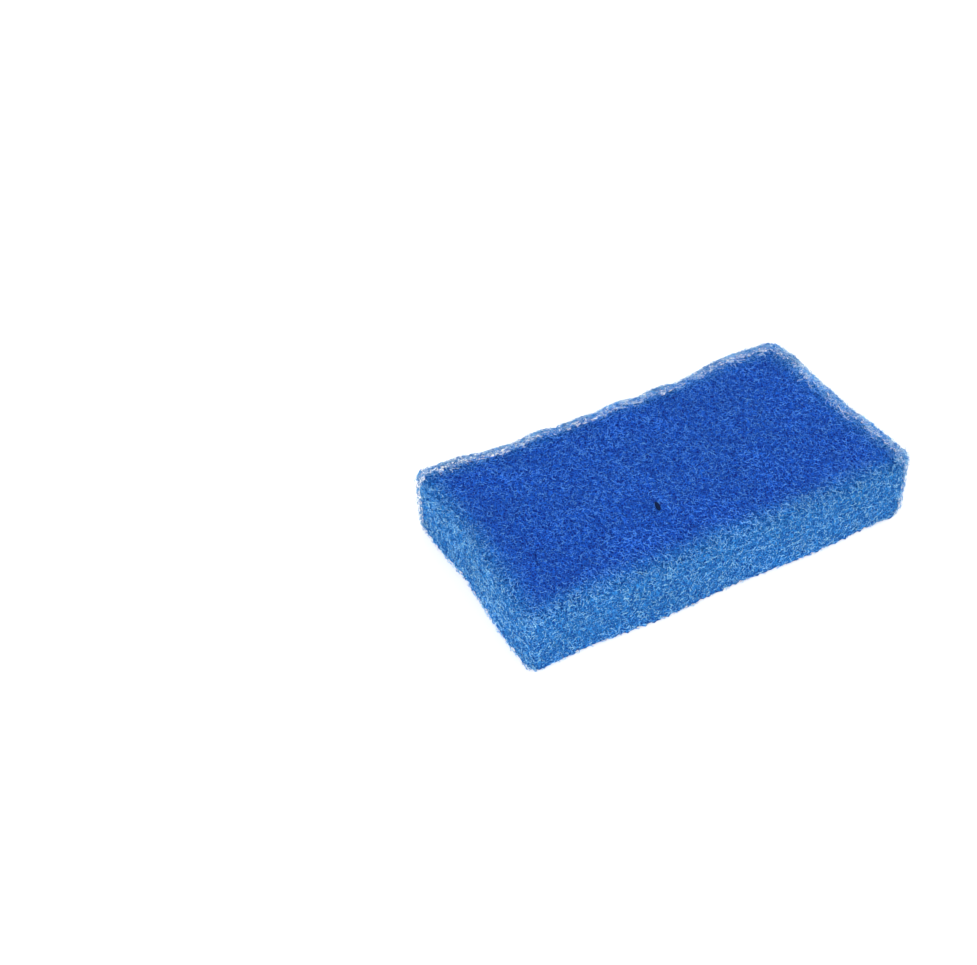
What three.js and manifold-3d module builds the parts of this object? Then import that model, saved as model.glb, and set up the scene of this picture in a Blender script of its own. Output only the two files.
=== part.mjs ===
// A lofty scouring pad: one block of crimped nylon fibres bonded into an open web, cut by hand to
// a soft rectangle. The web has no skin, so its cut edges wander, its faces are lumpy, and single
// fibres rise from every face in low loops and dive back into it. Millimetres, +Z up.
// The pad lies on its underside at Z = 0, its length along X, centred on the origin.

import * as THREE from 'three';
import { mergeVertices } from 'three/addons/utils/BufferGeometryUtils.js';
import Module from 'manifold-3d';

// Size of the cut block
const LENGTH = 152;
const WIDTH = 84;
const THICKNESS = 25.4;
const EDGE_RADIUS = 3.4;
const FRONT_LEFT_CORNER = 3;
const FRONT_RIGHT_CORNER = 8;
const BACK_RIGHT_CORNER = 6;
const BACK_LEFT_CORNER = 4;

// The knife wandered in along the middle of the long back edge, and left that stretch scalloped
const BACK_CUT_DEPTH = 3;
const BACK_CUT_LENGTH = 108;
const BACK_CUT_MIDDLE_X = -7;
const BACK_CUT_EASE = 13;
const SCALLOP_DEPTH = 1.2;
const SCALLOP_PITCH = 17;
const SCALLOP_CREST_X = 3;

// The other three edges wave in and out once or twice, with a dip at these places
const EDGE_WAVE_DEPTH = 0.6;
const EDGE_WAVE_PITCH = 58;
const FRONT_DIP_X = 4;
const LEFT_DIP_Y = 4;
const RIGHT_DIP_Y = -3;
const EDGE_REACH = 14;

// The loft of the web: three crossing waves swell the top, and the underside is pressed flat
const SWELLS = [
  { alongX: 1, alongY: 0.35, pitch: 27, height: 0.22 },
  { alongX: -0.5, alongY: 1, pitch: 22, height: 0.22 },
  { alongX: 0.8, alongY: -1, pitch: 13, height: 0.15 },
];

// The outermost fibres lie at uneven depths, which leaves the skin rough all over
const ROUGH_OUT = 0.45;
const ROUGH_IN = 0.9;
const ROUGH_ALONG = 0.6;

// Single fibres that rise from the web in low loops
const FIBRE_DIAMETER = 0.9;
const FIBRE_SIDES = 4;
const LOOP_SPAN = 9;
const LOOP_RISE = 1.3;
const LOOP_LEAN = 3;
const ROOT_DEPTH = 1.6;
const LOOP_FACETS = 8;
const LOOP_PITCH = 22;
const WEB_SEED = 4036;

// Facets of the block
const GRID_STEP = 3.3;
const EDGE_ARC_FACETS = 4;

const TRIM_MARGIN = 20;
const UP = new THREE.Vector3(0, 0, 1);

const nylonWeb = new THREE.MeshStandardMaterial({
  name: 'nylon_web',
  color: 0x2a5fbe,
  roughness: 0.85,
  metalness: 0,
});

// Draws numbers from 0 to 1 in an order that is the same on every run.
function seededRandom(seed) {
  let state = seed >>> 0;
  return () => {
    state = (state + 0x6d2b79f5) >>> 0;
    let mixed = Math.imul(state ^ (state >>> 15), 1 | state);
    mixed ^= mixed + Math.imul(mixed ^ (mixed >>> 7), 61 | mixed);
    return ((mixed ^ (mixed >>> 14)) >>> 0) / 4294967296;
  };
}

// Spreads the evenly spaced lines of a box, so that the rounded edges get their own facets.
function spreadLine(share, size, lines) {
  const half = size / 2;
  const index = Math.round(share * lines);
  const fromEnd = Math.min(index, lines - index);
  const arcLines = EDGE_ARC_FACETS / 2;
  let inset = EDGE_RADIUS + (fromEnd - arcLines) * ((size - 2 * EDGE_RADIUS) / (lines - 2 * arcLines));
  if (fromEnd <= arcLines) {
    const slope = Math.tan(((1 - fromEnd / arcLines) * Math.PI) / 4);
    inset = EDGE_RADIUS * (1 - slope);
  }
  return index * 2 <= lines ? inset - half : half - inset;
}

// Lines across one side of the block: an even grid, and the arcs of its two rounded edges.
function gridLines(size) {
  return Math.max(2, Math.round((size - 2 * EDGE_RADIUS) / GRID_STEP)) + EDGE_ARC_FACETS;
}

// Puts a point on the plain rounded block, centred on the origin, and gives the way out there.
function ontoBlock(point) {
  const reach = new THREE.Vector3(LENGTH, WIDTH, THICKNESS).multiplyScalar(0.5).subScalar(EDGE_RADIUS);
  const inner = point.clone().clamp(reach.clone().negate(), reach);
  const outward = point.clone().sub(inner);
  if (outward.lengthSq() === 0) {
    outward.copy(UP);
  }
  outward.normalize();
  return { surface: inner.addScaledVector(outward, EDGE_RADIUS), outward };
}

function cornerRadius(x, y) {
  if (y < 0) {
    return x < 0 ? FRONT_LEFT_CORNER : FRONT_RIGHT_CORNER;
  }
  return x < 0 ? BACK_LEFT_CORNER : BACK_RIGHT_CORNER;
}

// Rounds the block in plan: the square that each corner fills becomes a quarter circle.
function roundCorner(point) {
  const radius = cornerRadius(point.x, point.y);
  const overX = Math.abs(point.x) - (LENGTH / 2 - radius);
  const overY = Math.abs(point.y) - (WIDTH / 2 - radius);
  if (overX > 0 && overY > 0) {
    const pull = Math.max(overX, overY) / Math.hypot(overX, overY) - 1;
    point.x += Math.sign(point.x) * overX * pull;
    point.y += Math.sign(point.y) * overY * pull;
  }
}

// 0 in the middle of the block, rising to 1 at the cut edge.
function nearEdge(distance, half) {
  return THREE.MathUtils.smoothstep(distance, half - EDGE_REACH, half);
}

// A wave from -1 at its dip to 1 half a pitch away.
function waveFromDip(distance, pitch, dip) {
  return -Math.cos((2 * Math.PI * (distance - dip)) / pitch);
}

// How far the back edge lies from a straight cut, along its length.
function backWander(x) {
  const fromMiddle = Math.abs(x - BACK_CUT_MIDDLE_X);
  const cutHalf = BACK_CUT_LENGTH / 2;
  const inCut = 1 - THREE.MathUtils.smoothstep(fromMiddle, cutHalf - BACK_CUT_EASE, cutHalf);
  const scallop = Math.abs(Math.cos((Math.PI * (x - SCALLOP_CREST_X)) / SCALLOP_PITCH));
  return -inCut * (BACK_CUT_DEPTH + SCALLOP_DEPTH * (0.5 - scallop));
}

// Moves the cut edges in and out, as the knife left them.
function wanderEdges(point) {
  const { x, y } = point;
  if (y > 0) {
    point.y += backWander(x) * nearEdge(y, WIDTH / 2);
  } else {
    const outY = EDGE_WAVE_DEPTH * waveFromDip(x, EDGE_WAVE_PITCH, FRONT_DIP_X);
    point.y -= outY * nearEdge(-y, WIDTH / 2);
  }
  const outX = EDGE_WAVE_DEPTH * waveFromDip(y, EDGE_WAVE_PITCH, x < 0 ? LEFT_DIP_Y : RIGHT_DIP_Y);
  point.x += Math.sign(x) * outX * nearEdge(Math.abs(x), LENGTH / 2);
}

// Lifts the top into swells, less and less towards the flat underside.
function loft(point) {
  const share = point.z / THICKNESS;
  for (const { alongX, alongY, pitch, height } of SWELLS) {
    point.z += share * height * waveFromDip(alongX * point.x + alongY * point.y, pitch, 0);
  }
}

// Carries a point of the plain block to its place in the finished web.
function intoWeb(point) {
  const placed = point.clone();
  roundCorner(placed);
  wanderEdges(placed);
  placed.z += THICKNESS / 2;
  loft(placed);
  return placed;
}

function merged(geometry) {
  geometry.deleteAttribute('normal');
  geometry.deleteAttribute('uv');
  return mergeVertices(geometry, 1e-4);
}

function between(low, high, random) {
  return low + (high - low) * random();
}

// Moves a point of the skin to the fibre that is outermost there: up or down, and a little aside.
function roughen(surface, outward, random) {
  const depth = between(-ROUGH_IN, ROUGH_OUT, random);
  const aside = new THREE.Vector3(between(-1, 1, random), between(-1, 1, random), between(-1, 1, random));
  aside.addScaledVector(outward, -aside.dot(outward)).multiplyScalar(ROUGH_ALONG);
  const pressed = outward.z < -0.99;
  return pressed ? surface : surface.clone().add(aside).addScaledVector(outward, depth);
}

// The block itself: a box whose grid is pulled onto the rounded form and then into the web's.
function blockGeometry(random) {
  const across = gridLines(LENGTH);
  const deep = gridLines(WIDTH);
  const high = gridLines(THICKNESS);
  const geometry = merged(new THREE.BoxGeometry(1, 1, 1, across, deep, high));
  const corners = geometry.getAttribute('position');
  for (let i = 0; i < corners.count; i += 1) {
    const gridPoint = new THREE.Vector3(
      spreadLine(corners.getX(i) + 0.5, LENGTH, across),
      spreadLine(corners.getY(i) + 0.5, WIDTH, deep),
      spreadLine(corners.getZ(i) + 0.5, THICKNESS, high),
    );
    const { surface, outward } = ontoBlock(gridPoint);
    const placed = intoWeb(roughen(surface, outward, random));
    corners.setXYZ(i, placed.x, placed.y, placed.z);
  }
  return geometry;
}

// Where the loops stand: a jittered grid over one face, given by its middle and two half sides.
function loopPlaces(middle, along, across, random) {
  const rows = Math.max(1, Math.round((2 * across.length()) / LOOP_PITCH));
  const columns = Math.max(1, Math.round((2 * along.length()) / LOOP_PITCH));
  const places = [];
  for (let row = 0; row < rows; row += 1) {
    for (let column = 0; column < columns; column += 1) {
      const u = (2 * (column + random())) / columns - 1;
      const v = (2 * (row + random())) / rows - 1;
      places.push(middle.clone().addScaledVector(along, u).addScaledVector(across, v));
    }
  }
  return places;
}

// The middle line of one loop: out of the web, over in a leaning arch, and back into it.
function loopPath(place, random) {
  const { surface, outward } = ontoBlock(place);
  const side = Math.abs(outward.z) > 0.5 ? new THREE.Vector3(1, 0, 0) : UP;
  const along = side.clone().cross(outward).normalize().applyAxisAngle(outward, random() * 2 * Math.PI);
  const aside = along.clone().cross(outward);
  const lean = LOOP_LEAN * between(-1, 1, random);
  const points = [];
  for (let facet = 0; facet <= LOOP_FACETS; facet += 1) {
    const turn = (Math.PI * facet) / LOOP_FACETS;
    const point = surface.clone();
    point.addScaledVector(along, (-LOOP_SPAN / 2) * Math.cos(turn));
    point.addScaledVector(aside, lean * Math.sin(turn));
    const below = ontoBlock(point);
    const rise = THREE.MathUtils.lerp(-ROOT_DEPTH, LOOP_RISE, Math.sin(turn));
    points.push(intoWeb(below.surface.addScaledVector(below.outward, rise)));
  }
  return new THREE.CatmullRomCurve3(points);
}

function fibreGeometry(path) {
  const section = new THREE.Shape();
  for (let side = 0; side < FIBRE_SIDES; side += 1) {
    const angle = (2 * Math.PI * side) / FIBRE_SIDES;
    const x = (FIBRE_DIAMETER / 2) * Math.cos(angle);
    const y = (FIBRE_DIAMETER / 2) * Math.sin(angle);
    if (side === 0) {
      section.moveTo(x, y);
    } else {
      section.lineTo(x, y);
    }
  }
  section.closePath();
  const settings = { steps: LOOP_FACETS, extrudePath: path, bevelEnabled: false };
  return merged(new THREE.ExtrudeGeometry(section, settings));
}

const wasm = await Module();
wasm.setup();

function toSolid(geometry) {
  const positions = geometry.getAttribute('position');
  return new wasm.Manifold(new wasm.Mesh({
    numProp: 3,
    vertProperties: new Float32Array(positions.array),
    triVerts: new Uint32Array(geometry.getIndex().array),
  }));
}

// Follows the links of a merged corner to the one that stands for its whole skin.
function skinOf(corner, links) {
  let found = corner;
  while (links[found] !== found) {
    links[found] = links[links[found]];
    found = links[found];
  }
  return found;
}

// The outer skin of a solid. Where fibres cross they can seal a tiny pocket between them, whose
// skin is a separate one: it is left off, so that the web is solid there.
function outerSkin(solid) {
  const mesh = solid.getMesh();
  const links = Uint32Array.from({ length: mesh.vertProperties.length / 3 }, (_, corner) => corner);
  const triangles = [];
  for (let i = 0; i < mesh.triVerts.length; i += 3) {
    const triangle = mesh.triVerts.slice(i, i + 3);
    triangles.push(triangle);
    links[skinOf(triangle[1], links)] = skinOf(triangle[0], links);
    links[skinOf(triangle[2], links)] = skinOf(triangle[0], links);
  }
  const sizes = new Map();
  for (const triangle of triangles) {
    const skin = skinOf(triangle[0], links);
    sizes.set(skin, (sizes.get(skin) ?? 0) + 1);
  }
  const [largest] = [...sizes].reduce((most, entry) => (entry[1] > most[1] ? entry : most));
  const kept = triangles.filter((triangle) => skinOf(triangle[0], links) === largest);
  const geometry = new THREE.BufferGeometry();
  geometry.setAttribute('position', new THREE.BufferAttribute(new Float32Array(mesh.vertProperties), 3));
  geometry.setIndex(kept.flatMap((triangle) => [...triangle]));
  return geometry;
}

// Everything under the surface that the pad rests on, which presses the web flat there.
function belowGround() {
  const size = new THREE.Vector3(LENGTH, WIDTH, THICKNESS).addScalar(2 * TRIM_MARGIN);
  const geometry = merged(new THREE.BoxGeometry(size.x, size.y, size.z));
  geometry.translate(0, 0, -size.z / 2);
  return toSolid(geometry);
}

function buildPad() {
  const random = seededRandom(WEB_SEED);
  const halfX = new THREE.Vector3(LENGTH / 2, 0, 0);
  const halfY = new THREE.Vector3(0, WIDTH / 2, 0);
  const halfZ = new THREE.Vector3(0, 0, THICKNESS / 2);
  const places = [
    ...loopPlaces(halfZ, halfX, halfY, random),
    ...loopPlaces(halfY.clone().negate(), halfX, halfZ, random),
    ...loopPlaces(halfY, halfX, halfZ, random),
    ...loopPlaces(halfX.clone().negate(), halfY, halfZ, random),
    ...loopPlaces(halfX, halfY, halfZ, random),
  ];
  let web = toSolid(blockGeometry(random));
  for (const place of places) {
    web = web.add(toSolid(fibreGeometry(loopPath(place, random))));
  }
  const geometry = outerSkin(web.subtract(belowGround()));
  geometry.computeBoundingBox();
  const middle = geometry.boundingBox.getCenter(new THREE.Vector3());
  geometry.translate(-middle.x, -middle.y, 0);
  geometry.computeVertexNormals();
  const pad = new THREE.Mesh(geometry, nylonWeb);
  pad.name = 'scouring_pad';
  return pad;
}

const scouringPad = new THREE.Group();
scouringPad.add(buildPad());

export default scouringPad;
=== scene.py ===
"""The looks of a thick nylon scouring pad.

The pad is one block of crimped nylon fibres, sprayed with resin and baked into an open web, then cut
to a soft rectangle. It is dressed as that: a darker packed middle, and round it thousands of single
fibres, each one a thin closed tube that curls through the outer few millimetres of the web.
"""

from __future__ import annotations

import logging
import math
from dataclasses import dataclass, field
from enum import Enum

import bpy
import numpy as np
from mathutils import Matrix, Vector, noise


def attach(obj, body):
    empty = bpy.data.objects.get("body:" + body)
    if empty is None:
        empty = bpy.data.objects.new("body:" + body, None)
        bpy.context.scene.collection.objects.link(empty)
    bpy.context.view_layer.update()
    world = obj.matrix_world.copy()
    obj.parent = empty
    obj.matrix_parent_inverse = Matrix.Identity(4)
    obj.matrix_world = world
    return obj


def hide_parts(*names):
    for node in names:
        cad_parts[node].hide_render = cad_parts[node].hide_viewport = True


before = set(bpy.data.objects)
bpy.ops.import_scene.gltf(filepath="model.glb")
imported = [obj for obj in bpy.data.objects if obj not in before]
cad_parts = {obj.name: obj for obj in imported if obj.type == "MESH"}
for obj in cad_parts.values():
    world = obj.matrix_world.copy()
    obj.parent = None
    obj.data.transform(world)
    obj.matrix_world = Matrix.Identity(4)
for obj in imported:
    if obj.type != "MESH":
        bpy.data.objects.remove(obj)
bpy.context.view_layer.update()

log = logging.getLogger("scouring_pad")

MM = 0.001
TAU = 2.0 * math.pi
CAD_NODE = "scouring_pad"
BODY = "root"
# Each fibre's own random tone, with painted light and shade by depth: darker deeper in the web.
TONE_AND_SHADE = "fibre_tone_and_painted_depth_shade"
# Painted light: the share of the paler colour on the cut sides and near the top's edges.
SIDE_LIGHT = "painted_side_light"
# Painted light: fibres on the thin rim painted nearly white, for light coming through the web.
THIN_RIM_LIGHT = "painted_thin_rim_light"
BAKE_MAP = "OFBake"
# How much painted light the top takes at its very edges, and how far inwards it fades.
EDGE_LIGHT_SHARE = 0.9
EDGE_LIGHT_REACH_MM = 11.0
FACING_SIDE = 0.25
FACING_UP = 0.98
NOISE_LOW = 0.3
NOISE_HIGH = 0.7
WHITE = (1.0, 1.0, 1.0, 1.0)


class Face(Enum):
    """The sides of the block, each as the axis that it faces along and the way it faces."""

    TOP = (2, 1.0)
    UNDERSIDE = (2, -1.0)
    FRONT = (1, -1.0)
    BACK = (1, 1.0)
    LEFT = (0, -1.0)
    RIGHT = (0, 1.0)


def linear(hex_colour: str) -> tuple[float, float, float, float]:
    """Turns an sRGB hex colour into the linear values that a shader takes.

    Args:
        hex_colour: Six hex digits, red first.

    Returns:
        Red, green, blue and an alpha of 1.
    """
    shares = [int(hex_colour[i : i + 2], 16) / 255 for i in (0, 2, 4)]
    straight = [s / 12.92 if s <= 0.04045 else ((s + 0.055) / 1.055) ** 2.4 for s in shares]
    return straight[0], straight[1], straight[2], 1.0


def wave_from_dip(distance: np.ndarray, pitch: float, dip: float | np.ndarray) -> np.ndarray:
    """A wave of the given pitch, from -1 at its dip to 1 half a pitch away."""
    return -np.cos(TAU * (distance - dip) / pitch)


def smooth(value: np.ndarray, low: float, high: float) -> np.ndarray:
    """Rises softly from 0 at low to 1 at high."""
    share = np.clip((value - low) / (high - low), 0.0, 1.0)
    return share * share * (3.0 - 2.0 * share)


@dataclass(frozen=True)
class Swell:
    """One of the waves that the loft of the web lies in: its heading, and its sizes in millimetres."""

    along_x: float
    along_y: float
    pitch: float
    height: float


@dataclass(frozen=True)
class PadForm:
    """The form of the cut block, in millimetres: the same one that the solid has."""

    length: float = 152.0
    width: float = 84.0
    thickness: float = 25.4
    edge_radius: float = 3.4
    front_left_corner: float = 3.0
    front_right_corner: float = 8.0
    back_right_corner: float = 6.0
    back_left_corner: float = 4.0
    back_cut_depth: float = 3.0
    back_cut_length: float = 108.0
    back_cut_middle_x: float = -7.0
    back_cut_ease: float = 13.0
    scallop_depth: float = 1.2
    scallop_pitch: float = 17.0
    scallop_crest_x: float = 3.0
    edge_wave_depth: float = 0.6
    edge_wave_pitch: float = 58.0
    front_dip_x: float = 4.0
    left_dip_y: float = 4.0
    right_dip_y: float = -3.0
    edge_reach: float = 14.0
    swells: tuple[Swell, ...] = (
        Swell(1.0, 0.35, 27.0, 0.22),
        Swell(-0.5, 1.0, 22.0, 0.22),
        Swell(0.8, -1.0, 13.0, 0.15),
    )
    centring: tuple[float, float] = (-0.04, 0.35)

    def half(self) -> np.ndarray:
        """Half of the block's length, width and thickness."""
        return np.array([self.length, self.width, self.thickness]) / 2

    def onto_block(self, points: np.ndarray) -> tuple[np.ndarray, np.ndarray]:
        """Puts points on the plain rounded block, whose middle is the origin.

        Args:
            points: Any points outside the block's inner box, one in a row.

        Returns:
            The points on its skin, and the way out at each.
        """
        reach = self.half() - self.edge_radius
        inner = np.clip(points, -reach, reach)
        outward = points - inner
        size = np.linalg.norm(outward, axis=1, keepdims=True)
        outward = np.where(size > 1e-9, outward / np.maximum(size, 1e-9), [0.0, 0.0, 1.0])
        return inner + self.edge_radius * outward, outward

    def round_corners(self, x: np.ndarray, y: np.ndarray) -> tuple[np.ndarray, np.ndarray]:
        """Rounds the block in plan: the square that each corner fills becomes a quarter circle."""
        half = self.half()
        corner = np.where(
            y < 0,
            np.where(x < 0, self.front_left_corner, self.front_right_corner),
            np.where(x < 0, self.back_left_corner, self.back_right_corner),
        )
        over_x = np.abs(x) - (half[0] - corner)
        over_y = np.abs(y) - (half[1] - corner)
        reach = np.maximum(np.hypot(over_x, over_y), 1e-9)
        pull = np.where((over_x > 0) & (over_y > 0), np.maximum(over_x, over_y) / reach - 1, 0.0)
        return x + np.sign(x) * over_x * pull, y + np.sign(y) * over_y * pull

    def back_wander(self, x: np.ndarray) -> np.ndarray:
        """How far the back edge lies from a straight cut, along its length."""
        from_middle = np.abs(x - self.back_cut_middle_x)
        cut_half = self.back_cut_length / 2
        in_cut = 1 - smooth(from_middle, cut_half - self.back_cut_ease, cut_half)
        scallop = np.abs(np.cos(math.pi * (x - self.scallop_crest_x) / self.scallop_pitch))
        return -in_cut * (self.back_cut_depth + self.scallop_depth * (0.5 - scallop))

    def wander_edges(self, x: np.ndarray, y: np.ndarray) -> tuple[np.ndarray, np.ndarray]:
        """Moves the cut edges in and out, as the knife left them."""
        half, reach = self.half(), self.edge_reach
        back_y = self.back_wander(x) * smooth(y, half[1] - reach, half[1])
        front = self.edge_wave_depth * wave_from_dip(x, self.edge_wave_pitch, self.front_dip_x)
        front_y = -front * smooth(-y, half[1] - reach, half[1])
        dip = np.where(x < 0, self.left_dip_y, self.right_dip_y)
        out_x = self.edge_wave_depth * wave_from_dip(y, self.edge_wave_pitch, dip)
        out_x = np.sign(x) * out_x * smooth(np.abs(x), half[0] - reach, half[0])
        return x + out_x, y + np.where(y > 0, back_y, front_y)

    def into_web(self, points: np.ndarray) -> np.ndarray:
        """Carries points of the plain block to their place in the finished, hand-cut web.

        Args:
            points: Points in or near the plain block.

        Returns:
            The points with its corners rounded, its edges wandering and its top swelling, and with
            the underside at a height of 0.
        """
        x, y = self.wander_edges(*self.round_corners(points[:, 0], points[:, 1]))
        z = points[:, 2] + self.thickness / 2
        share = z / self.thickness
        for swell in self.swells:
            along = swell.along_x * x + swell.along_y * y
            z = z + share * swell.height * wave_from_dip(along, swell.pitch, 0.0)
        return np.stack([x + self.centring[0], y + self.centring[1], z], axis=1)

    def inside(self, points: np.ndarray) -> np.ndarray:
        """How far points of the plain block lie inside its nearest cut side."""
        return np.min(self.half()[:2] - np.abs(points[:, :2]), axis=1)


def add_node(tree: bpy.types.NodeTree, kind: str, values: dict[str | int, object] | None = None,
             links: dict[str | int, bpy.types.NodeSocket] | None = None,
             **settings: object) -> bpy.types.Node:
    """Adds one shader node.

    Args:
        tree: The material's node tree.
        kind: The node's type.
        values: Numbers and colours for its input sockets, by name or number.
        links: Output sockets to join to its input sockets, by name or number.
        settings: The node's own properties.

    Returns:
        The new node.
    """
    node = tree.nodes.new(kind)
    for name, setting in settings.items():
        setattr(node, name, setting)
    for name, value in (values or {}).items():
        node.inputs[name].default_value = value
    for name, socket in (links or {}).items():
        tree.links.new(socket, node.inputs[name])
    return node


def empty_material(name: str) -> tuple[bpy.types.Material, bpy.types.NodeTree]:
    """Makes a material whose node tree is still empty.

    Args:
        name: What the material is.

    Returns:
        The material and its tree.
    """
    material = bpy.data.materials.new(name)
    material.use_nodes = True
    material.node_tree.nodes.clear()
    return material, material.node_tree


def noise_node(tree: bpy.types.NodeTree, place: bpy.types.NodeSocket, pitch_mm: float,
               detail: float = 2.0) -> bpy.types.Node:
    """Adds a noise pattern whose size is given in real millimetres.

    Args:
        tree: The material's node tree.
        place: The place's socket.
        pitch_mm: The pattern's size.
        detail: How many finer patterns it holds.

    Returns:
        The new node.
    """
    return add_node(tree, "ShaderNodeTexNoise", {"Scale": 1 / (pitch_mm * MM), "Detail": detail},
                    {"Vector": place})


@dataclass(frozen=True)
class NylonFibre:
    """Solution-dyed nylon monofilament, drawn, crimped and bonded with a clear resin.

    It is dyed right through, so it is one blue. That fibres lying deeper in the web are darker and
    those further out paler is painted shade and light, and so is the paler colour of the cut sides and
    of the top near its edges, where more fibre ends catch the light. The drawn surface and the resin
    give it a soft gloss. A fine noise over its colour is partly resin bond spots and partly painted
    shade where fibres cross. On the thin rim some fibres are painted nearly white: painted light that
    comes through the thin web there.
    """

    name: str = "nylon_fibre_blue"
    deep_face: str = "0840bc"
    mid_face: str = "227cf6"
    pale_face: str = "6cb4ff"
    # Lit-side colours: paler copies of the top's colours, painted light on the cut sides.
    deep_lit_side: str = "1260bc"
    mid_lit_side: str = "40a6f6"
    pale_lit_side: str = "b4ecff"
    # Near white for fibres on the thin rim: painted light through the thin web.
    thin_rim_light_colour: str = "cce6ff"
    # A fine noise on each fibre's tone: partly resin bond spots, partly painted shade where fibres cross.
    bond_and_shade_mm: float = 0.3
    bond_and_shade_depth: float = 0.6
    cloud_mm: float = 16.0
    cloud_depth: float = 0.2
    resin_mm: float = 2.5
    smoothest: float = 0.4
    roughest: float = 0.7
    refraction: float = 1.53
    gloss: float = 0.2

    def ramp(self, tree: bpy.types.NodeTree, shade: bpy.types.NodeSocket,
             colours: tuple[str, str, str]) -> bpy.types.NodeSocket:
        """Colours a 0 to 1 shade from deep through middle to pale.

        Args:
            tree: The material's node tree.
            shade: The shade's socket.
            colours: The deep, middle and pale colour.

        Returns:
            The colour's socket.
        """
        node = add_node(tree, "ShaderNodeValToRGB", links={"Fac": shade})
        stops = node.color_ramp.elements
        stops.new(0.5)
        for stop, colour in zip(stops, colours):
            stop.color = linear(colour)
        return node.outputs["Color"]

    def make(self) -> bpy.types.Material:
        """Makes the material.

        Returns:
            The finished material.
        """
        material, tree = empty_material(self.name)
        place = add_node(tree, "ShaderNodeTexCoord").outputs["Object"]
        fibre = add_node(tree, "ShaderNodeAttribute", attribute_name=TONE_AND_SHADE).outputs["Fac"]
        # The share of painted light on the cut sides and near the top's edges.
        cut = add_node(tree, "ShaderNodeAttribute", attribute_name=SIDE_LIGHT).outputs["Fac"]
        # Partly resin bond spots, partly painted shade where fibres cross.
        bond_and_shade_noise = noise_node(tree, place, self.bond_and_shade_mm, detail=1.0)
        bond_and_shade_shift = add_node(tree, "ShaderNodeMapRange", {"From Min": NOISE_LOW, "From Max": NOISE_HIGH,
                        "To Min": -self.bond_and_shade_depth, "To Max": self.bond_and_shade_depth},
                        {"Value": bond_and_shade_noise.outputs["Fac"]})
        shade = add_node(tree, "ShaderNodeMath", links={0: fibre, 1: bond_and_shade_shift.outputs["Result"]},
                         operation="ADD", use_clamp=True).outputs["Value"]
        # The top's colours and the paler, painted-light colours of the cut sides, mixed by that share.
        face_colour = self.ramp(tree, shade, (self.deep_face, self.mid_face, self.pale_face))
        lit_side_colour = self.ramp(tree, shade, (self.deep_lit_side, self.mid_lit_side, self.pale_lit_side))
        dye_and_painted_light = add_node(tree, "ShaderNodeMix", links={0: cut, 6: face_colour, 7: lit_side_colour},
                       data_type="RGBA")
        clouds = noise_node(tree, place, self.cloud_mm, detail=3.0)
        depth = add_node(tree, "ShaderNodeMapRange", {"From Min": NOISE_LOW, "From Max": NOISE_HIGH,
                         "To Min": 1 - self.cloud_depth, "To Max": 1.0 + self.cloud_depth / 2},
                         {"Value": clouds.outputs["Fac"]})
        clouded = add_node(tree, "ShaderNodeMix", {0: 1.0}, {6: dye_and_painted_light.outputs[2], 7: depth.outputs["Result"]},
                           data_type="RGBA", blend_type="MULTIPLY")
        # Painted light: rim fibres painted nearly white, for light coming through the thin web.
        thin_rim_lit = add_node(tree, "ShaderNodeAttribute", attribute_name=THIN_RIM_LIGHT).outputs["Fac"]
        colour = add_node(tree, "ShaderNodeMix", {7: linear(self.thin_rim_light_colour)}, {0: thin_rim_lit, 6: clouded.outputs[2]},
                          data_type="RGBA")
        resin = noise_node(tree, place, self.resin_mm)
        rough = add_node(tree, "ShaderNodeMapRange", {"To Min": self.smoothest, "To Max": self.roughest},
                         {"Value": resin.outputs["Fac"]})
        shader = add_node(tree, "ShaderNodeBsdfPrincipled",
                          {"IOR": self.refraction, "Specular IOR Level": self.gloss},
                          {"Base Color": colour.outputs[2], "Roughness": rough.outputs["Result"]})
        add_node(tree, "ShaderNodeOutputMaterial", links={"Surface": shader.outputs["BSDF"]})
        return material


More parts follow.
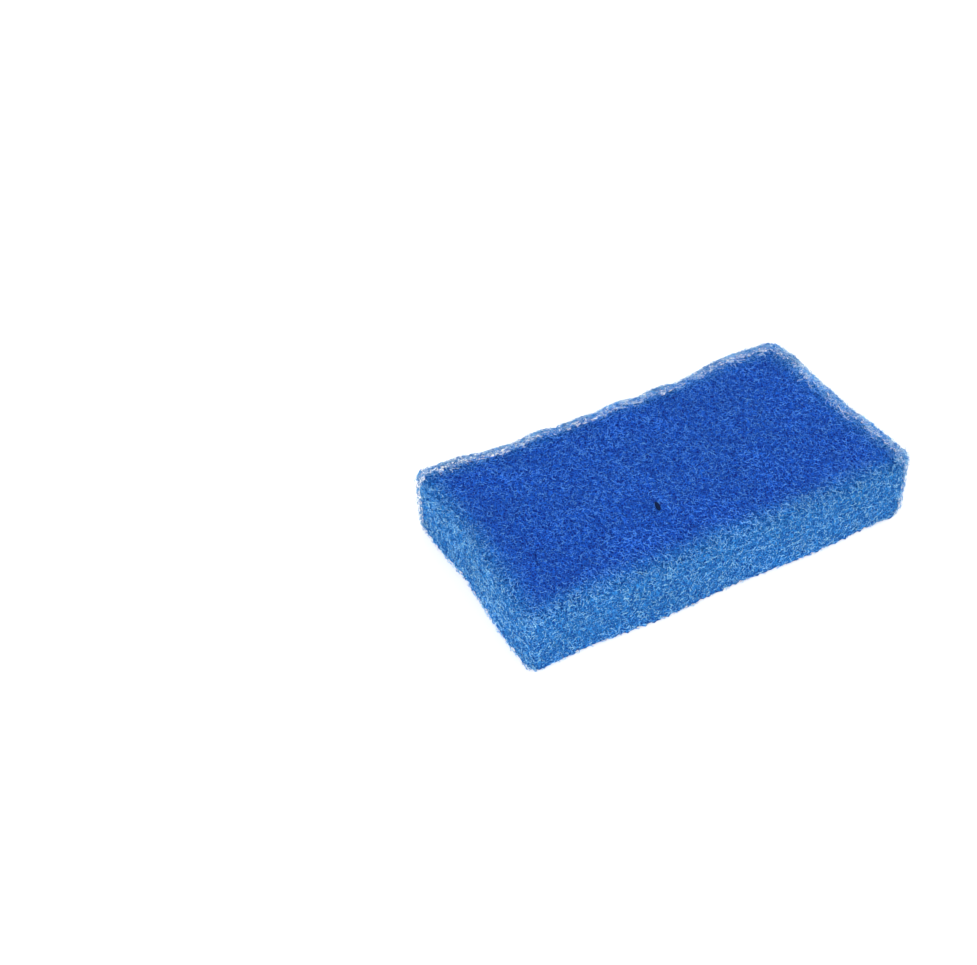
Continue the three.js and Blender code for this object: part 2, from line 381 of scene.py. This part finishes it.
@dataclass(frozen=True)
class PackedWeb:
    """The deeper web, where fibres lie behind fibres in their own shade.

    It is the same dyed nylon. Its strands are the borders of small cells, bent by a wider noise, and
    stand out a little from the gaps between them, whose dark colour is painted shade. On the cut sides
    both are paler, as painted light.
    """

    name: str = "nylon_web_packed"
    # The dark gaps are painted shade between the strands; the lit-side colours are painted light.
    painted_gap_shade: str = "042a88"
    fibre_colour: str = "2072ee"
    painted_gap_shade_lit_side: str = "0c4ca0"
    fibre_lit_side: str = "389cf0"
    cell_mm: float = 0.9
    strand_share: float = 0.22
    relief_mm: float = 0.5
    relief_strength: float = 0.8
    bend_pitch_mm: float = 2.0
    bend_reach_mm: float = 1.5
    roughness: float = 0.75
    gloss: float = 0.2

    def make(self) -> bpy.types.Material:
        """Makes the material.

        Returns:
            The finished material.
        """
        material, tree = empty_material(self.name)
        place = add_node(tree, "ShaderNodeTexCoord").outputs["Object"]
        # The share of painted light on the cut sides and near the top's edges.
        cut = add_node(tree, "ShaderNodeAttribute", attribute_name=SIDE_LIGHT).outputs["Fac"]
        bend = noise_node(tree, place, self.bend_pitch_mm, detail=1.0)
        bent = add_node(tree, "ShaderNodeVectorMath", {"Scale": self.bend_reach_mm * MM},
                        {0: bend.outputs["Color"]}, operation="SCALE")
        curled = add_node(tree, "ShaderNodeVectorMath", links={0: place, 1: bent.outputs["Vector"]},
                          operation="ADD")
        strands = add_node(tree, "ShaderNodeTexVoronoi", {"Scale": 1 / (self.cell_mm * MM)},
                           {"Vector": curled.outputs["Vector"]}, feature="DISTANCE_TO_EDGE")
        ridge = add_node(tree, "ShaderNodeMapRange",
                         {"From Max": self.strand_share, "To Min": 1.0, "To Max": 0.0},
                         {"Value": strands.outputs["Distance"]})
        # Strands over painted gap shade, on the top and, paler with painted light, on the cut sides.
        face = add_node(tree, "ShaderNodeMix", {6: linear(self.painted_gap_shade), 7: linear(self.fibre_colour)},
                        {0: ridge.outputs["Result"]}, data_type="RGBA")
        side = add_node(tree, "ShaderNodeMix", {6: linear(self.painted_gap_shade_lit_side), 7: linear(self.fibre_lit_side)},
                        {0: ridge.outputs["Result"]}, data_type="RGBA")
        colour = add_node(tree, "ShaderNodeMix", links={0: cut, 6: face.outputs[2], 7: side.outputs[2]},
                          data_type="RGBA")
        bump = add_node(tree, "ShaderNodeBump",
                        {"Distance": self.relief_mm * MM, "Strength": self.relief_strength},
                        {"Height": ridge.outputs["Result"]})
        shader = add_node(tree, "ShaderNodeBsdfPrincipled",
                          {"Roughness": self.roughness, "Specular IOR Level": self.gloss},
                          {"Base Color": colour.outputs[2], "Normal": bump.outputs["Normal"]})
        add_node(tree, "ShaderNodeOutputMaterial", links={"Surface": shader.outputs["BSDF"]})
        return material


@dataclass(frozen=True)
class DarkGrit:
    """A crumb of dark dirt caught in the web: matt and nearly black."""

    name: str = "dark_grit"
    grain_mm: float = 0.5
    roughness: float = 0.9
    gloss: float = 0.1
    dark: str = "020c28"
    light: str = "0a2654"

    def make(self) -> bpy.types.Material:
        """Makes the material.

        Returns:
            The finished material.
        """
        material, tree = empty_material(self.name)
        place = add_node(tree, "ShaderNodeTexCoord").outputs["Object"]
        grain = noise_node(tree, place, self.grain_mm)
        colour = add_node(tree, "ShaderNodeMix", {6: linear(self.dark), 7: linear(self.light)},
                          {0: grain.outputs["Fac"]}, data_type="RGBA")
        shader = add_node(tree, "ShaderNodeBsdfPrincipled",
                          {"Roughness": self.roughness, "Specular IOR Level": self.gloss},
                          {"Base Color": colour.outputs[2]})
        add_node(tree, "ShaderNodeOutputMaterial", links={"Surface": shader.outputs["BSDF"]})
        return material


def give_attribute(piece: bpy.types.Object, name: str, values: np.ndarray) -> None:
    """Gives each vertex of a piece a number.

    Args:
        piece: The mesh object.
        name: The attribute's name.
        values: One number a vertex.
    """
    attribute = piece.data.attributes.new(name, "FLOAT", "POINT")
    attribute.data.foreach_set("value", values.astype(np.float32))


@dataclass
class PackedMiddle:
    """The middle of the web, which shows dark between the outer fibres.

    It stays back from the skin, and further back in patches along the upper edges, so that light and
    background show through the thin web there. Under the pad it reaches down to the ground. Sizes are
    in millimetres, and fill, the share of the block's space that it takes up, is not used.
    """

    form: PadForm
    face_inset: float = 1.3
    under_inset: float = 0.3
    under_drop: float = 2.2
    edge_inset: float = 1.2
    edge_round: float = 3.6
    bevel_facets: int = 6
    voxel: float = 1.1
    rough: float = 2.8
    rough_pitch: float = 1.8
    bite: float = 3.4
    bite_pitch: float = 2.4
    bite_reach: float = 7.0
    bite_from: float = -0.3
    bite_full: float = 0.35
    fill: float = 0.85

    def build(self) -> bpy.types.Object:
        """Models the middle: a bevelled box, remeshed, roughened and carried into the web's form.

        Returns:
            The finished piece.
        """
        length, width, thickness = 2 * self.form.half()
        size = (length - 2 * self.edge_inset, width - 2 * self.edge_inset,
                thickness - self.face_inset + self.under_drop)
        middle_z = -(self.face_inset + self.under_drop) / 2
        ground = Vector((0, 0, self.under_inset - thickness / 2)) * MM
        bpy.ops.object.select_all(action="DESELECT")
        bpy.ops.mesh.primitive_cube_add(size=1, scale=Vector(size) * MM, location=(0, 0, middle_z * MM))
        piece = bpy.context.object
        bpy.ops.object.transform_apply(location=True, rotation=True, scale=True)
        bpy.ops.object.mode_set(mode="EDIT")
        bpy.ops.mesh.select_all(action="SELECT")
        bpy.ops.mesh.bevel(offset=self.edge_round * MM, segments=self.bevel_facets, affect="EDGES")
        bpy.ops.mesh.select_all(action="SELECT")
        bpy.ops.mesh.bisect(plane_co=ground, plane_no=(0, 0, 1), clear_inner=True, use_fill=True)
        bpy.ops.object.mode_set(mode="OBJECT")
        remesh = piece.modifiers.new("even_faces", "REMESH")
        remesh.mode = "VOXEL"
        remesh.voxel_size = self.voxel * MM
        bpy.ops.object.modifier_apply(modifier=remesh.name)
        lumps = bpy.data.textures.new("web_lumps", "CLOUDS")
        lumps.noise_scale = self.rough_pitch * MM
        lumps.noise_depth = 2
        push = piece.modifiers.new("web_lumps", "DISPLACE")
        push.texture = lumps
        push.strength = self.rough * MM
        push.mid_level = 0.5
        bpy.ops.object.modifier_apply(modifier=push.name)
        bpy.data.textures.remove(lumps)
        self.settle(piece)
        piece.name = "packed_middle"
        piece.data.name = piece.name
        return piece

    def settle(self, piece: bpy.types.Object) -> None:
        """Carries the middle's points into the web, and gives the ones that face a cut side painted light.

        Args:
            piece: The middle, still a plain block.
        """
        count = len(piece.data.vertices)
        flat = np.empty(count * 3)
        piece.data.vertices.foreach_get("co", flat)
        points = flat.reshape(-1, 3) / MM
        half = self.form.half()
        inset = np.array([self.edge_inset, self.edge_inset, self.face_inset])
        skin, outward = self.form.onto_block(points * half / (half - inset))
        points = points - outward * self.bites(points)[:, None]
        placed = self.form.into_web(points)
        placed[:, 2] = np.abs(placed[:, 2])
        piece.data.vertices.foreach_set("co", (placed * MM).ravel())
        piece.data.update()
        # Painted light: the share of the paler colour on the cut sides and near the top's edges.
        give_attribute(piece, SIDE_LIGHT, side_light_share(self.form, skin, outward))
        piece.data.shade_smooth()

    def bites(self, points: np.ndarray) -> np.ndarray:
        """How deep the thin web along the upper edges eats into the middle, at each of its points.

        Args:
            points: The middle's points on the plain block.

        Returns:
            One depth a point: patches with soft borders, and nothing away from the upper edges.
        """
        from_top = self.form.thickness / 2 - points[:, 2]
        from_edge = np.hypot(np.maximum(self.form.inside(points), 0), np.maximum(from_top, 0))
        near = 1 - smooth(from_edge, self.edge_inset, self.bite_reach)
        return self.bite * near * smooth(patches(points, self.bite_pitch), self.bite_from, self.bite_full)


def patches(points: np.ndarray, pitch: float) -> np.ndarray:
    """Soft patches of noise, which say where the web is thin or where rim fibres carry painted light.

    Args:
        points: Points in millimetres.
        pitch: The size of a patch.

    Returns:
        One number from about -1 to 1 for each point.
    """
    return np.array([noise.noise(Vector(point) / pitch) for point in points])


def side_light_share(form: PadForm, skin: np.ndarray, outward: np.ndarray) -> np.ndarray:
    """How much painted light, a cut side's paler colour, the web takes: all of it there, and less inwards.

    Args:
        form: The form of the pad.
        skin: Points on or near the plain block.
        outward: The way out at each.

    Returns:
        A share from 0 to 1 for each point.
    """
    # Painted light: all of it on faces that look sideways, and on the top fading in from the edges.
    side = 1.0 - smooth(np.abs(outward[:, 2]), FACING_SIDE, FACING_UP)
    rim = EDGE_LIGHT_SHARE * (1.0 - smooth(form.inside(skin), 0.0, EDGE_LIGHT_REACH_MM))
    return np.maximum(side, rim)


@dataclass
class FibreLayer:
    """A layer of crimped fibres along one or two faces of the web, joined in one piece.

    Sizes are in millimetres, and the turns of a fibre's heading in radians for each millimetre. A
    depth is negative outside the block, and each pair holds the least and the most that is drawn.
    """

    form: PadForm
    name: str
    faces: tuple[Face, ...]
    count: int
    seed: int
    band_sides: tuple[Face, ...] = ()
    band: float = 7.0
    band_crowding: float = 1.5
    # Painted light: the share of fibres painted nearly white where the rim web is thin, in patches.
    thin_rim_lit_share: float = 0.0
    thin_rim_lit_pitch: float = 3.5
    thin_rim_lit_from: float = -0.25
    thin_rim_lit_full: float = 0.3
    shallow: float = -0.3
    deep: float = 1.5
    diameter: float = 0.18
    diameter_shares: tuple[float, float] = (0.75, 1.25)
    length: float = 1.9
    length_shares: tuple[float, float] = (0.55, 1.45)
    curl: float = 0.5
    crimp: float = 1.7
    crimp_shares: tuple[float, float] = (0.3, 1.6)
    crimp_turns: tuple[float, float] = (0.7, 1.7)
    dive: float = 0.22
    bobs: tuple[float, float] = (0.05, 0.3)
    stray_share: float = 0.03
    stray_depths: tuple[float, float] = (-0.4, 0.3)
    stray_reach: float = 0.9
    shade_evenness: float = 2.2
    shade_lift: float = 0.08
    # Painted light and shade by depth: fibres further out paler, deeper ones darker.
    painted_shade_per_mm: float = 0.14
    painted_shade_depths: tuple[float, float] = (-0.5, 2.5)
    segments: int = field(default=4, init=False)
    sides: int = field(default=3, init=False)

    def starts(self, random: np.random.Generator) -> np.ndarray:
        """Draws where the fibres' middles lie, spread evenly over the layer's faces.

        Args:
            random: The layer's random numbers.

        Returns:
            One point in a row, on the plain block's flat faces.
        """
        half = self.form.half()
        areas = [np.prod(np.delete(half, face.value[0])) for face in self.faces]
        shares = random.choice(len(self.faces), self.count, p=np.array(areas) / sum(areas))
        points = random.uniform(-half, half, (self.count, 3))
        for number, face in enumerate(self.faces):
            axis, way = face.value
            points[shares == number, axis] = way * half[axis]
        if self.band_sides:
            self.crowd(points, random)
        return points

    def crowd(self, points: np.ndarray, random: np.random.Generator) -> None:
        """Moves points outwards into the band along the layer's cut sides.

        Args:
            points: The points on the plain block, which are changed.
            random: The layer's random numbers.
        """
        half = self.form.half()
        lengths = np.array([half[1 - side.value[0]] for side in self.band_sides])
        shares = random.choice(len(self.band_sides), self.count, p=lengths / lengths.sum())
        inset = self.band * random.random(self.count) ** self.band_crowding
        for number, side in enumerate(self.band_sides):
            axis, way = side.value
            points[shares == number, axis] = way * (half[axis] - inset[shares == number])

    def walk(self, random: np.random.Generator) -> tuple[np.ndarray, np.ndarray, np.ndarray]:
        """Walks every fibre through the web with a curling, crimping heading.

        Args:
            random: The layer's random numbers.

        Returns:
            The fibres' middle lines, the way out at each of their points, and how deep each lies.
        """
        skin, outward = self.form.onto_block(self.starts(random))
        step = self.length / self.segments * random.uniform(*self.length_shares, self.count)
        curl = self.curl * random.normal(0, 1, self.count)
        crimp = self.crimp * random.uniform(*self.crimp_shares, self.count)
        crimp_turn = random.uniform(*self.crimp_turns, self.count)
        crimp_shift = random.uniform(0, TAU, self.count)
        depth = random.uniform(self.shallow, self.deep, self.count)
        dive = random.normal(0, self.dive, self.count)
        bob = random.uniform(*self.bobs, self.count)
        stray = random.random(self.count) < self.stray_share
        depth = np.where(stray, random.uniform(*self.stray_depths, self.count), depth)
        steepest = 2 * self.stray_reach / self.length
        dive = np.where(stray, -random.uniform(0, steepest, self.count), dive)
        heading = random.normal(0, 1, (self.count, 3))
        lines = np.empty((self.count, self.segments + 1, 3))
        ways = np.empty_like(lines)
        depths = np.empty((self.count, self.segments + 1))
        for number in range(self.segments + 1):
            heading -= outward * np.sum(heading * outward, axis=1, keepdims=True)
            heading /= np.linalg.norm(heading, axis=1, keepdims=True)
            travelled = (number - self.segments / 2) * step
            bend = crimp_turn * number + crimp_shift
            sunk = np.maximum(depth + dive * travelled + bob * np.sin(bend), -self.stray_reach)
            lines[:, number] = skin - outward * sunk[:, None]
            ways[:, number] = outward
            depths[:, number] = sunk
            turn = step * (curl + crimp * np.cos(bend))
            aside = np.cross(outward, heading)
            heading = heading * np.cos(turn)[:, None] + aside * np.sin(turn)[:, None]
            skin, outward = self.form.onto_block(skin + heading * step[:, None])
        return lines, ways, depths

    def build(self) -> bpy.types.Object:
        """Makes the layer: a closed three-sided tube round each fibre's middle line.

        Returns:
            The finished piece.
        """
        random = np.random.default_rng(self.seed)
        lines, ways, depths = self.walk(random)
        rings = self.segments + 1
        flat_lines, flat_ways = lines.reshape(-1, 3), ways.reshape(-1, 3)
        # The share of painted light on the cut sides and near the top's edges.
        cut = side_light_share(self.form, flat_lines, flat_ways).reshape(self.count, rings, 1)
        placed = self.form.into_web(flat_lines).reshape(self.count, rings, 3)
        piece = self.tubes(self.skins(placed, ways, random) * MM)
        # Each fibre's random tone, less painted shade by depth: deeper fibres darker, outer ones paler.
        evenness, painted_depth_shade = self.shade_evenness, self.painted_shade_per_mm * np.clip(depths, *self.painted_shade_depths)
        shade = random.beta(evenness, evenness, (self.count, 1)) - painted_depth_shade + self.shade_lift
        # Painted light: rim fibres painted nearly white, for light coming through the thin web.
        thin_rim_lit = self.thin_rim_lit(lines[:, rings // 2], random)[:, None, None]
        per_corner = (self.count, rings, self.sides)
        for name, values in ((TONE_AND_SHADE, np.clip(shade, 0, 1)[:, :, None]), (SIDE_LIGHT, cut), (THIN_RIM_LIGHT, thin_rim_lit)):
            give_attribute(piece, name, np.broadcast_to(values, per_corner).ravel())
        return piece

    def skins(self, placed: np.ndarray, ways: np.ndarray, random: np.random.Generator) -> np.ndarray:
        """Sets a ring of corners round each point of the fibres' middle lines.

        Args:
            placed: The middle lines in the finished web.
            ways: The way out at each of their points.
            random: The layer's random numbers.

        Returns:
            The corners of each ring of each fibre in turn, none of them below the ground.
        """
        radius = self.diameter / 2 * random.uniform(*self.diameter_shares, (self.count, 1, 1))
        along = np.gradient(placed, axis=1)
        along /= np.linalg.norm(along, axis=2, keepdims=True)
        across = np.cross(along, ways + 1e-3)
        across /= np.maximum(np.linalg.norm(across, axis=2, keepdims=True), 1e-6)
        upward = np.cross(across, along)
        corners = []
        for side in range(self.sides):
            angle = TAU * side / self.sides
            corners.append(placed + radius * (math.cos(angle) * upward + math.sin(angle) * across))
        points = np.stack(corners, axis=2).reshape(-1, 3)
        points[:, 2] = np.abs(points[:, 2])
        return points

    def thin_rim_lit(self, middles: np.ndarray, random: np.random.Generator) -> np.ndarray:
        """Draws which fibres are painted nearly white, as painted light through the thin rim web: they
        lie together in patches.

        Args:
            middles: The middle point of each fibre.
            random: The layer's random numbers.

        Returns:
            True or false for each fibre.
        """
        if not self.thin_rim_lit_share:
            return np.zeros(self.count, dtype=bool)
        near = smooth(patches(middles, self.thin_rim_lit_pitch), self.thin_rim_lit_from, self.thin_rim_lit_full)
        return random.random(self.count) < self.thin_rim_lit_share * near

    def tubes(self, points: np.ndarray) -> bpy.types.Object:
        """Joins the points of all the fibres' rings into closed tubes.

        Args:
            points: The corners of each ring of each fibre in turn, in metres.

        Returns:
            The layer's object, with a map on which each fibre has a small strip of its own.
        """
        corners, starts, strip = self.one_tube()
        fibres = np.arange(self.count)[:, None]
        mesh = bpy.data.meshes.new(self.name)
        mesh.vertices.add(len(points))
        mesh.vertices.foreach_set("co", points.astype(np.float32).ravel())
        mesh.loops.add(self.count * len(corners))
        ring_corners = (self.segments + 1) * self.sides
        mesh.loops.foreach_set("vertex_index", (corners + fibres * ring_corners).astype(np.int32).ravel())
        mesh.polygons.add(self.count * len(starts))
        mesh.polygons.foreach_set("loop_start", (starts + fibres * len(corners)).astype(np.int32).ravel())
        columns = math.ceil(math.sqrt(self.count * self.diameter * self.sides / self.length))
        rows = math.ceil(self.count / columns)
        cells = np.stack([fibres % columns, fibres // columns], axis=-1)
        spread = (cells + strip[None]) / [columns, rows]
        bake_map = mesh.uv_layers.new(name=BAKE_MAP)
        bake_map.uv.foreach_set("vector", spread.astype(np.float32).ravel())
        mesh.update(calc_edges=True)
        mesh.shade_smooth()
        piece = bpy.data.objects.new(self.name, mesh)
        bpy.context.collection.objects.link(piece)
        return piece

    def one_tube(self) -> tuple[np.ndarray, np.ndarray, np.ndarray]:
        """Lists the faces of one tube: its walls as quads, and its two ends as triangles.

        Returns:
            The vertex number of each face corner, the corner that each face starts at, and each
            corner's place on a strip of the map, with the two ends in the strip's margins.
        """
        sides, last = self.sides, self.segments * self.sides
        margin, wall = 0.1, 0.8
        faces, strip = [], []
        for ring in range(self.segments):
            for side in range(sides):
                here = ring * sides
                beside = (side + 1) % sides
                faces.append((here + side, here + beside, here + sides + beside, here + sides + side))
                near, far = ring / self.segments, (ring + 1) / self.segments
                low, high = side / sides, (side + 1) / sides
                strip.extend([(near, low), (near, high), (far, high), (far, low)])
        faces.append(tuple(reversed(range(sides))))
        faces.append(tuple(range(last, last + sides)))
        strip.extend([(-0.1, 0.0), (-0.02, 0.0), (-0.06, 0.5), (1.02, 0.0), (1.1, 0.0), (1.06, 0.5)])
        corners = np.array([corner for face in faces for corner in face])
        starts = np.cumsum([0] + [len(face) for face in faces[:-1]])
        return corners, starts, margin + wall * np.array(strip)


@dataclass
class DirtFleck:
    """The one dark crumb caught in the top of the web."""

    form: PadForm
    place: tuple[float, float] = (-13.3, -17.2)
    length: float = 4.4
    width: float = 1.6
    thickness: float = 1.1
    turn_deg: float = 76.0
    proud: float = 0.0

    def build(self) -> bpy.types.Object:
        """Models the crumb: a long, squashed ball.

        Returns:
            The finished piece.
        """
        bpy.ops.object.select_all(action="DESELECT")
        bpy.ops.mesh.primitive_ico_sphere_add(subdivisions=3, radius=0.5)
        piece = bpy.context.object
        top = self.form.into_web(np.array([[*self.place, self.form.thickness / 2 + self.proud]]))[0]
        piece.scale = (self.length * MM, self.width * MM, self.thickness * MM)
        piece.rotation_euler = (0.0, 0.0, math.radians(self.turn_deg))
        piece.location = Vector(top) * MM
        bpy.ops.object.transform_apply(location=True, rotation=True, scale=True)
        bpy.ops.object.shade_smooth()
        piece.name = "dirt_fleck"
        piece.data.name = piece.name
        return piece


@dataclass(frozen=True)
class SoftBox:
    """A square soft lamp that aims at the pad: its place and width in metres, its power in watts."""

    name: str
    place: tuple[float, float, float]
    width: float
    power: float

    def add(self) -> None:
        """Adds the lamp."""
        bpy.ops.object.light_add(type="AREA", location=self.place)
        lamp = bpy.context.object
        lamp.name = self.name
        lamp.data.size = self.width
        lamp.data.energy = self.power
        lamp.rotation_mode = "QUATERNION"
        lamp.rotation_quaternion = (-Vector(self.place)).to_track_quat("-Z", "Y")


@dataclass
class Studio:
    """The white floor and surroundings, the soft lamps and the camera."""

    eye_mm: tuple[float, float, float] = (-214.8, -318.4, 354.4)
    yaw_deg: float = -24.93
    pitch_deg: float = 41.16
    roll_deg: float = -3.74
    lens_mm: float = 53.86
    sensor_mm: float = 36.0
    floor_m: float = 6.0
    paper_grey: float = 0.8
    paper_glow: float = 0.35
    sky_light: float = 0.75
    sky_seen: float = 1.0
    lamps: tuple[SoftBox, ...] = (
        SoftBox("key_softbox", (-0.95, -0.85, 0.75), 0.9, 16.0),
        SoftBox("fill_softbox", (0.9, -0.5, 0.8), 0.9, 4.0),
    )

    def build(self) -> None:
        """Adds the whole studio."""
        self.camera()
        self.floor()
        for lamp in self.lamps:
            lamp.add()
        self.surroundings()
        bpy.context.scene.view_settings.view_transform = "Standard"

    def camera(self) -> None:
        """Adds the camera at the photograph's viewpoint."""
        yaw, pitch, roll = (math.radians(a) for a in (self.yaw_deg, self.pitch_deg, self.roll_deg))
        back = Vector((math.sin(yaw) * math.cos(pitch), -math.cos(yaw) * math.cos(pitch), math.sin(pitch)))
        level = Vector((math.cos(yaw), math.sin(yaw), 0.0))
        upright = back.cross(level)
        right = math.cos(roll) * level + math.sin(roll) * upright
        upward = back.cross(right)
        bpy.ops.object.camera_add()
        camera = bpy.context.object
        camera.data.sensor_width = self.sensor_mm
        camera.data.lens = self.lens_mm
        turn = Matrix((right, upward, back)).transposed().to_4x4()
        camera.matrix_world = Matrix.Translation(Vector(self.eye_mm) * MM) @ turn
        bpy.context.scene.camera = camera

    def floor(self) -> None:
        """Adds the white floor, which keeps the pad's soft shadow."""
        bpy.ops.mesh.primitive_plane_add(size=self.floor_m)
        floor = bpy.context.object
        floor.name = "studio_floor"
        material, tree = empty_material("white_paper")
        seen = add_node(tree, "ShaderNodeLightPath").outputs["Is Camera Ray"]
        grey = (self.paper_grey, self.paper_grey, self.paper_grey, 1.0)
        paper = add_node(tree, "ShaderNodeBsdfDiffuse", {"Color": grey})
        glow = add_node(tree, "ShaderNodeEmission", {"Color": WHITE, "Strength": self.paper_glow})
        both = add_node(tree, "ShaderNodeAddShader", links={0: paper.outputs[0], 1: glow.outputs[0]})
        mixed = add_node(tree, "ShaderNodeMixShader",
                         links={0: seen, 1: paper.outputs[0], 2: both.outputs[0]})
        add_node(tree, "ShaderNodeOutputMaterial", links={"Surface": mixed.outputs[0]})
        floor.data.materials.append(material)

    def surroundings(self) -> None:
        """Adds the white surroundings, which light the pad less strongly than they are seen."""
        world = bpy.data.worlds.new("white_studio")
        bpy.context.scene.world = world
        world.use_nodes = True
        tree = world.node_tree
        tree.nodes.clear()
        seen = add_node(tree, "ShaderNodeLightPath").outputs["Is Camera Ray"]
        strength = add_node(tree, "ShaderNodeMapRange",
                            {"To Min": self.sky_light, "To Max": self.sky_seen}, {"Value": seen})
        sky = add_node(tree, "ShaderNodeBackground", {"Color": WHITE},
                       {"Strength": strength.outputs["Result"]})
        add_node(tree, "ShaderNodeOutputWorld", links={"Surface": sky.outputs[0]})


def dress(piece: bpy.types.Object, material: bpy.types.Material) -> None:
    """Gives a piece its material and the body that it rides on.

    Args:
        piece: The new piece.
        material: Its finish.
    """
    piece.data.materials.clear()
    piece.data.materials.append(material)
    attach(piece, BODY)
    log.info("%s: %d faces", piece.name, len(piece.data.polygons))


def fibre_layers(form: PadForm) -> list[FibreLayer]:
    """Lists the layers of fibres that cover the web.

    Args:
        form: The form of the pad.

    Returns:
        The layers, from the top round the sides to the underside.
    """
    return [
        FibreLayer(form, "fibres_top", (Face.TOP,), 7400, 11),
        FibreLayer(form, "fibres_top_between", (Face.TOP,), 7000, 12),
        # This layer carries the painted light of the thin rim: some fibres nearly white.
        FibreLayer(form, "fibres_top_rim", (Face.TOP,), 3600, 16, deep=0.6, thin_rim_lit_share=0.5,
                   band_sides=(Face.BACK, Face.RIGHT)),
        FibreLayer(form, "fibres_long_sides", (Face.FRONT, Face.BACK), 7600, 13),
        FibreLayer(form, "fibres_short_sides", (Face.LEFT, Face.RIGHT), 4400, 14),
        FibreLayer(form, "fibres_underside", (Face.UNDERSIDE,), 5400, 15, stray_share=0.0),
    ]


def main() -> None:
    """Builds the studio and the pad, and reports each piece."""
    logging.basicConfig(level=logging.INFO, format="%(name)s: %(message)s")
    Studio().build()
    form = PadForm()
    middle = PackedMiddle(form)
    core = middle.build()
    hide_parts(CAD_NODE)
    dress(core, PackedWeb().make())
    nylon = NylonFibre().make()
    for layer in fibre_layers(form):
        dress(layer.build(), nylon)
    dress(DirtFleck(form).build(), DarkGrit().make())


if __name__ == "__main__":
    main()
